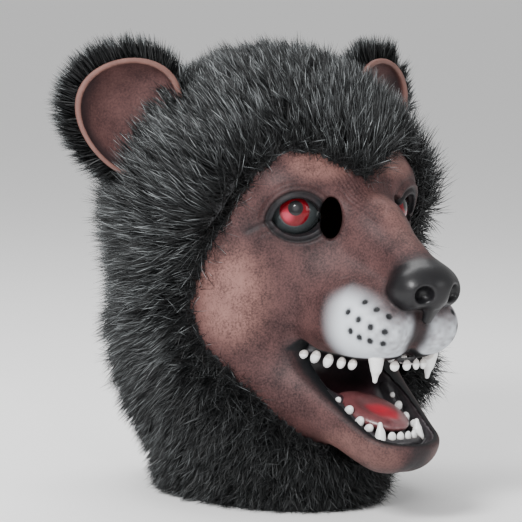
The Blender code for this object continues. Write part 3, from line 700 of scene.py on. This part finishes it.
# Teeth: cast in hard white resin, one row for each jaw, and pressed into the gums. Most are small pearls,
# and each row has two fangs.
enamel, tree, shader = new_finish("tooth_enamel", (0.78, 0.78, 0.76), 0.3, coat=0.35, coat_roughness=0.15)
speckle, rough_height = grained(tree, 500.0, 1.6)
chalk = tint(tree, speckle, (0.66, 0.66, 0.65), (0.86, 0.86, 0.855))
tree.links.new(tint(tree, painted(tree, "root"), chalk, (0.34, 0.30, 0.27)), shader.inputs["Base Color"])
bump = wire(tree, "ShaderNodeBump", Strength=0.15, Distance=0.0004, Height=rough_height)
tree.links.new(bump.outputs["Normal"], shader.inputs["Normal"])
FANG_TALL = 7
TOOTH_NET = 0.75


def teeth(p, row, up):
    """One row of teeth: the tall ones are fangs that taper to a point, the rest small eggs."""
    q = folded(p)
    form = np.full(len(q), 50.0)
    for i, (x, y, z, half, tall) in enumerate(row):
        before, after = row[max(i - 1, 0)], row[min(i + 1, len(row) - 1)]
        along = math.atan2(after[1] - before[1], after[0] - before[0])
        run = np.array([math.cos(along), math.sin(along), 0])
        if tall > FANG_TALL:
            foot = np.array([x, y, z + up * 0.9 * tall])
            tip = np.array([x - 0.8, y + 1.5, z - up * (tall - 1.8)])
            waist = 0.55 * foot + 0.45 * tip - 0.8 * run
            peg = join(bar(q, foot, tip, half, 1.7), bar(q, foot, waist, half, 0.72 * half), 3)
        else:
            leaning = q + run * (0.28 * (q[:, 2] - z))[:, None] * (i > 2)
            peg = ball(leaning, (x, y, z), (half, 0.66 * half, tall), math.degrees(along))
        form = np.minimum(form, peg)
    return form


for name, row, up, count in (("upper_teeth", UPPER_TEETH, 1, 16), ("lower_teeth", LOWER_TEETH, -1, 14)):
    bottom, top = (110, 146) if up == 1 else (64, 104)
    points, quads = wrap(lambda p: teeth(p, row, up), (0, -186, bottom), (48, -78, top), TOOTH_NET)
    q = folded(points)
    foot = gums(q)
    nodes = [f"{name[:5]}_tooth_{i:02d}" for i in range(1, count + 1)]
    add_piece(name, points, quads, enamel, *nodes, slot="enamel", masks={"root": 0.75 * step(foot, 0.9, 0.1)})

# Tongue: one soft latex casting with a raised rim and a groove, glued to the floor of the mouth.
# It is dull pink at the rim and bright red in the hollow, under a thin varnish.
tongue_paint, tree, shader = new_finish("painted_tongue", (0.3, 0.06, 0.07), 0.3, coat=0.45, coat_roughness=0.25)
speckle, rough_height = grained(tree, 800.0, 2.6)
pink = tint(tree, speckle, (0.055, 0.014, 0.018), (0.20, 0.070, 0.072))
tree.links.new(tint(tree, painted(tree, "red"), pink, (0.42, 0.004, 0.022)), shader.inputs["Base Color"])
bump = wire(tree, "ShaderNodeBump", Strength=0.5, Distance=0.0005, Height=rough_height)
tree.links.new(bump.outputs["Normal"], shader.inputs["Normal"])
TONGUE_MIDDLE = np.array([1.0, -128.0, 85.0])
TONGUE_TILT = math.radians(14)


def tongue(p):
    """A flat pad that rises toward the throat, hollow above and grooved along its middle."""
    q = folded(p) - TONGUE_MIDDLE
    s, c = math.sin(TONGUE_TILT), math.cos(TONGUE_TILT)
    run, rise = -q[:, 1] * c - q[:, 2] * s, q[:, 2] * c - q[:, 1] * s
    local = np.stack([q[:, 0], run, rise], axis=1)
    body = ball(local, (0, 0, 0), (23, 36, 8.5))
    hollow = ball(local, (0, 6, 11.5), (15, 23, 7.5))
    body = carve(body, hollow, 5)
    groove = bar(local, (0, -26, 9.5), (0, 34, 6.5), 0.6, 0.6)
    return carve(body, groove, 3.5)


tongue_points, tongue_quads = wrap(tongue, (0, -170, 50), (24, -76, 140), 1.2)
q = folded(tongue_points)
red = step(np.linalg.norm((q - TONGUE_MIDDLE - (0, -13, 4)) / (12, 17, 22), axis=1), 1.15, 0.5)
red *= 0.65 + 0.5 * mottle(q, 5, 8)
masks = {"red": np.clip(red, 0, 1)}
add_piece("tongue_casting", tongue_points, tongue_quads, tongue_paint, "tongue", slot="tongue", masks=masks)

# Ears: two egg-shaped latex cups, cast apart and glued to the hood, each with a rolled rim.
# They are sponged rose brown inside, a little paler at the rim, with a painted shadow in the outer hollow.
EAR_MIDDLE, EAR_RADII = np.array([129.5, 29.5, 307.0]), np.array([42.5, 25.0, 47.0])
EAR_TURN, EAR_LEAN = math.radians(20), math.radians(-10)


def in_ear(q):
    """Places in the left ear's own frame: across, back and up from the middle of its mouth."""
    p = q - EAR_MIDDLE
    s, c = math.sin(EAR_TURN), math.cos(EAR_TURN)
    x, y, z = p[:, 0] * c + p[:, 1] * s, p[:, 1] * c - p[:, 0] * s, p[:, 2]
    s, c = math.sin(EAR_LEAN), math.cos(EAR_LEAN)
    x, z = x * c + z * s, z * c - x * s
    return np.stack([x / (1 + 0.24 * z / EAR_RADII[2]), y, z], axis=1)


def ear_egg(local):
    """Distance from the egg that the cup is the back half of."""
    return ball(local, (0, 0, 0), EAR_RADII)


def ear_outline(local):
    """Distance from the rim's own outline, seen straight on."""
    return ball(local * (1, 0, 1), (0, 0, 0), (EAR_RADII[0], 1e3, EAR_RADII[2]))


def ear_cup(p):
    """One ear: a shell with a rolled rim round its mouth."""
    local = in_ear(folded(p))
    shell = np.maximum(np.abs(ear_egg(local) + 1.5) - 1.5, -local[:, 1] - 1)
    rim = np.hypot(ear_outline(local) + 1.4, local[:, 1] + 0.5) - 1.6
    return join(shell, rim, 2.5)


ear_paint, tree, shader = new_finish("ear_paint", (0.2, 0.11, 0.11), 0.62, specular=0.3)
speckle, rough_height = grained(tree, 620.0, 2.6)
rose = tint(tree, speckle, (0.030, 0.012, 0.013), (0.125, 0.059, 0.055))
rose = tint(tree, painted(tree, "rim"), rose, (0.17, 0.085, 0.070))
tree.links.new(tint(tree, painted(tree, "shade"), rose, (0.030, 0.018, 0.020)), shader.inputs["Base Color"])
bump = wire(tree, "ShaderNodeBump", Strength=0.4, Distance=0.0005, Height=rough_height)
tree.links.new(bump.outputs["Normal"], shader.inputs["Normal"])

ear_points, ear_quads = wrap(ear_cup, (72, -30, 250), (196, 76, 386), 1.7)
q = folded(ear_points)
local = in_ear(q)
outline = ear_outline(local)
keep = closed_head(q) > -3
masks = {
    "rim": step(local[:, 1], 2.5, -1) * (0.55 + 0.45 * mottle(q, 6, 4)),
    # painted shadow on the outer side of the hollow, under the rolled rim
    "shade": 0.93 * step(local[:, 1], 1, 4) * step(outline, -17, -6) * step(local[:, 0] - 0.4 * local[:, 2], -6, 14),
}
for label, side in (("left", 1), ("right", -1)):
    own = keep & (ear_points[:, 0] * side > 0)
    add_piece(
        "ear_cup_" + label, ear_points, ear_quads[own[ear_quads].all(axis=1)], ear_paint,
        "ear_" + label, slot="ear_latex", masks=masks,
    )

# Fur hood: long pile fabric, dark grey with silver tips, glued over skull, cheeks, throat and neck.
# Its black knitted backing lies on the latex, tight at the face and the hem and loose over the cheeks and
# the nape, and the pile is combed back from the face.
BACKING, LOOSEST = 0.6, 13
hood_knit, tree, shader = new_finish("hood_backing", (0.01, 0.01, 0.011), 0.9)
speckle, rough_height = grained(tree, 1500.0, 3.0)
tree.links.new(tint(tree, speckle, (0.005, 0.005, 0.006), (0.022, 0.022, 0.024)), shader.inputs["Base Color"])
bump = wire(tree, "ShaderNodeBump", Strength=0.6, Distance=0.0008, Height=rough_height)
tree.links.new(bump.outputs["Normal"], shader.inputs["Normal"])


def padded(p):
    """The backing, pulled up to the inner side of each ear."""
    q = folded(p)
    form = closed_head(q)
    loose = step(skin_edge(q), -6, -34) * step(q[:, 2], 20, 90) * step(q[:, 2], 320, 240)
    loose *= 1 - 0.5 * step(q[:, 1], 10, 90)
    form = form - BACKING - LOOSEST * loose
    return join(form, ball(q, (77, 34, 306), (20, 16, 28), 25), 12)


def past_the_ruff(points):
    """How far inside the bare face a point lies, with the ruff of the left cheek brought further forward."""
    ruff = 16 * (points[:, 0] > 0) * ridge(points[:, 2] - 122, 36)
    return skin_edge(folded(points)) - ruff


def within(points, middle, far, close):
    """Rises from 0 at the far distance from a place to 1 at the close one."""
    return step(np.linalg.norm(points - middle, axis=1), far, close)


backing_points, backing_quads = wrap(padded, (0, -140, -6), (124, 152, 364), 4.0)
backing_points = backing_points + within(backing_points, (92, -46, 122), 58, 10)[:, None] * (11, -15, 0)
backing_points = backing_points + within(backing_points, (-80, 32, 326), 34, 8)[:, None] * (2, -5, 6)
in_cup = in_ear(folded(backing_points))
clear = (ear_egg(in_cup) > 1) | (in_cup[:, 1] > 0) | (in_cup[:, 0] < -24)
bare = past_the_ruff(backing_points)
keep = (bare < 7) & (backing_points[:, 2] > 4) & clear
backing_quads = backing_quads[keep[backing_quads].all(axis=1)]
under = (bare < 1)[backing_quads].all(axis=1)
add_piece("hood_backing", backing_points, backing_quads[under], hood_knit, "fur_hood", slot="fur")

# The pile itself: the shade of each hair runs across its map, and root to tip runs up it
pile, tree, shader = new_finish("grizzled_pile", (0.1, 0.1, 0.1), 0.5, specular=0.25)
lay = wire(tree, "ShaderNodeSeparateXYZ", Vector=wire(tree, "ShaderNodeUVMap", {"uv_map": "OFBake"}).outputs["UV"])
shade, tip = lay.outputs["X"], lay.outputs["Y"]
root_tone = (0.002, 0.0021, 0.0023)
body_tone = tint(tree, shade, (0.0022, 0.0024, 0.0027), (0.024, 0.026, 0.027))
tip_tone = tint(tree, shade, (0.0022, 0.0024, 0.0027), (0.44, 0.47, 0.48))
hair = tint(tree, fade(tree, tip, 0.05, 0.45), root_tone, body_tone)
tree.links.new(tint(tree, fade(tree, tip, 0.5, 0.9), hair, tip_tone), shader.inputs["Base Color"])


def scatter(points, quads, count, dice):
    """Random places over some quads, with the way out of the surface there."""
    a, b, c, d = [points[quads[:, i]] for i in range(4)]
    normal = np.cross(c - a, d - b)
    area = np.linalg.norm(normal, axis=1)
    pick = dice.choice(len(quads), count, p=area / area.sum())
    u, v = dice.random((2, count, 1))
    place = (a[pick] * (1 - u) + b[pick] * u) * (1 - v) + (d[pick] * (1 - u) + c[pick] * u) * v
    return place, normal[pick] / area[pick][:, None]


def unit(ways):
    """Directions, each made one long."""
    return ways / (np.linalg.norm(ways, axis=1)[:, None] + 1e-9)


def hairs(name, roots, normal, comb, lift, length, shade, width, curl, dice, clump, pull, *nodes):
    """Lays one hair at each root: it leaves the skin along the normal and bends the way it is combed."""
    count = len(roots)
    cells = np.floor(roots / clump + 0.35 * np.sin(roots[:, [1, 2, 0]] / 3.1)).astype(int)
    _, tuft = np.unique(cells, axis=0, return_inverse=True)
    tuft = tuft.ravel()
    size = np.bincount(tuft)
    middle = np.stack([np.bincount(tuft, weights=roots[:, i]) / size for i in range(3)], axis=1)[tuft]
    sway = dice.normal(0, 0.16, (len(size), 3))[tuft] + dice.normal(0, 0.11, (count, 3))
    start = unit(normal * (0.85 * lift)[:, None] + comb * 0.5 + sway)
    end = unit(normal * (0.3 * lift)[:, None] + comb * 0.95 + 1.3 * sway)
    turn = dice.uniform(0, 2 * math.pi, count)
    across = unit(np.cross(start, normal) + dice.normal(0, 0.35, (count, 3)))
    other = np.cross(start, across)
    centre = np.zeros((count, 3, 3))
    for i, t in enumerate((0.0, 0.5, 1.0)):
        spot = roots + length[:, None] * (start * (t - 0.5 * t * t) + end * 0.5 * t * t)
        spot += (middle - roots) * (pull * t**1.6)
        wave = curl * math.sqrt(t)
        spot += wave[:, None] * (across * np.sin(turn + 5 * t)[:, None] + other * np.cos(turn + 5 * t)[:, None])
        centre[:, i] = spot
    half = width[:, None] / 2 * across
    rows = [centre[:, 0] - half, centre[:, 0] + half, centre[:, 1] - half, centre[:, 1] + half, centre[:, 2]]
    spots = (np.stack(rows, axis=1).reshape(-1, 3) + (0, NECK_MIDDLE, 0)) / 1000
    spots[:, 2] = np.maximum(spots[:, 2], 0.0006)
    mesh = bpy.data.meshes.new(name)
    mesh.vertices.add(len(spots))
    mesh.vertices.foreach_set("co", spots.ravel())
    ring = np.array([0, 1, 3, 2, 2, 3, 4])
    loops = (np.arange(count)[:, None] * 5 + ring).ravel()
    mesh.loops.add(len(loops))
    mesh.loops.foreach_set("vertex_index", loops)
    # each hair is a strip of one quad and one triangle: seven corners on five points
    mesh.polygons.add(2 * count)
    first = (np.arange(count)[:, None] * 7 + np.array([0, 4])).ravel()
    mesh.polygons.foreach_set("loop_start", first)
    mesh.update(calc_edges=True)
    chart = mesh.uv_layers.new(name="OFBake")
    level = np.array([0.0, 0.0, 0.5, 0.5, 1.0])[ring]
    chart_spots = np.stack([np.repeat(0.02 + 0.96 * shade, 7), np.tile(0.02 + 0.96 * level, count)], axis=1)
    chart.data.foreach_set("uv", chart_spots.ravel())
    mesh.materials.append(pile)
    mesh.shade_smooth()
    piece = bpy.data.objects.new(name, mesh)
    bpy.context.collection.objects.link(piece)
    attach(piece, "root")
    if nodes:
        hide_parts(*nodes)


HAIRS = 126000
PILE_LENGTH, CROWN_SHORTER, NECK_SHORTER = 36, 10, 12
dice = np.random.default_rng(7)
roots, normal = scatter(backing_points, backing_quads, HAIRS, dice)
q = folded(roots)
bare = past_the_ruff(roots)
low = step(q[:, 2], 170, 90)
throat = step(q[:, 1], -10, -50) * step(q[:, 2], 130, 90)
rise_of = np.interp(q[:, 2], (0, 90, 150, 200, 240, 300), (-0.85, -0.62, -0.4, -0.12, 0.4, 0.7))
comb = unit(np.stack([0.1 * np.clip(roots[:, 0] / 40, -1, 1), 0.85 - 0.4 * low, rise_of], axis=1))
lift = 1 + 0.5 * (comb * normal).sum(axis=1)
comb -= normal * (comb * normal).sum(axis=1)[:, None]
comb = unit(comb + throat[:, None] * dice.normal(0, 0.5, (HAIRS, 3)))
fringe = step(bare, -15, 0)
stray = fringe * (dice.random(HAIRS) < 0.55)
comb = unit(comb * (1 - 1.2 * stray[:, None]) + stray[:, None] * dice.normal(0, 1.0, (HAIRS, 3)))
crown = step(normal[:, 2], 0.45, 0.95)
length = PILE_LENGTH - CROWN_SHORTER * crown - NECK_SHORTER * step(q[:, 2], 120, 40)
length *= dice.uniform(0.7, 1.15, HAIRS) * (1 - 0.3 * fringe)
# shorter beside the ears, and only a few loose hairs past the edge of the backing
length *= 1 - 0.5 * within(roots, (84, 10, 285), 55, 25)
length *= 1 - 0.35 * within(roots, (-90, 25, 325), 45, 20)
length *= np.where(bare > 0, dice.random(HAIRS) < 0.3 * step(bare, 8, 0), 1)
lift += 0.35 * fringe
grizzle = dice.beta(0.30, 1.7, HAIRS)
# painted shade: the hairs are darker low on the hood and under the throat, away from the light above
underside_shade = 1.0 - 0.4 * low - 0.35 * throat
patches = 0.75 + 0.5 * mottle(roots, 22, 3)
shade_of = np.clip(grizzle * underside_shade * patches, 0, 1)
width = dice.uniform(0.55, 0.9, HAIRS) * (1 - 0.35 * fringe)
curl = 0.35 + 2.2 * throat
order = np.argsort(np.arctan2(roots[:, 0], -(roots[:, 1] - 15)))
for number, own in enumerate(np.array_split(order, 4), start=1):
    own = own[length[own] > 1]
    hairs(
        f"hood_fur_{number}", roots[own], normal[own], comb[own], lift[own], length[own], shade_of[own], width[own],
        curl[own], dice, 7.0, 0.62,
    )

# Ear fur: the same pile on the back and round the rim of each ear, a little shorter, glued on after the
# cup is painted and combed outward and up.
EAR_PILE_LENGTH = 23
EAR_HAIRS = 17000
ear_backs = (local[:, 1] > 0.5) & (ear_egg(local) > -0.8) & (closed_head(folded(ear_points)) > -2)
for label, side in (("left", 1), ("right", -1)):
    own = ear_backs & (ear_points[:, 0] * side > 0)
    roots, normal = scatter(ear_points, ear_quads[own[ear_quads].all(axis=1)], EAR_HAIRS, dice)
    away = unit((roots - EAR_MIDDLE * (side, 1, 1)) * (1, 0.3, 1))
    comb = unit(0.5 * away + np.array([0.45 * side, 0.3, 0.6]))
    length = EAR_PILE_LENGTH * dice.uniform(0.75, 1.15, EAR_HAIRS)
    shade_of = np.clip(dice.beta(0.32, 1.5, EAR_HAIRS) * (0.7 + 0.5 * mottle(roots, 16, 6)), 0, 1)
    width = dice.uniform(0.55, 0.9, EAR_HAIRS)
    hairs(
        "ear_pile_" + label, roots, normal, comb, np.full(EAR_HAIRS, 0.9), length, shade_of, width,
        np.full(EAR_HAIRS, 0.4), dice, 5.0, 0.5, "ear_fur_" + label,
    )

# Hem: a black cotton tape folded over the lower edge of latex and fur, and stitched.
# The mask stands on it.
hem_tape, tree, shader = new_finish("hem_tape", (0.012, 0.012, 0.013), 0.85)
speckle, rough_height = grained(tree, 2200.0, 3.0)
tree.links.new(tint(tree, speckle, (0.006, 0.006, 0.007), (0.026, 0.026, 0.028)), shader.inputs["Base Color"])
bump = wire(tree, "ShaderNodeBump", Strength=0.7, Distance=0.0006, Height=rough_height)
tree.links.new(bump.outputs["Normal"], shader.inputs["Normal"])


def hem(p):
    """A flat band with rounded edges, all round the neck."""
    q = folded(p)
    aside = np.abs(closed_head(q) - 0.9) - 2.3
    above = np.abs(q[:, 2] - 4.2) - 2.4
    return np.hypot(np.maximum(aside, 0), np.maximum(above, 0)) + np.minimum(np.maximum(aside, above), 0) - 1.6


hem_points, hem_quads = wrap(hem, (0, -104, -4), (92, 116, 12), 1.6)
add_piece("hem_binding", hem_points, hem_quads, hem_tape, "neck_hem_front", "neck_hem_back", slot="hem")
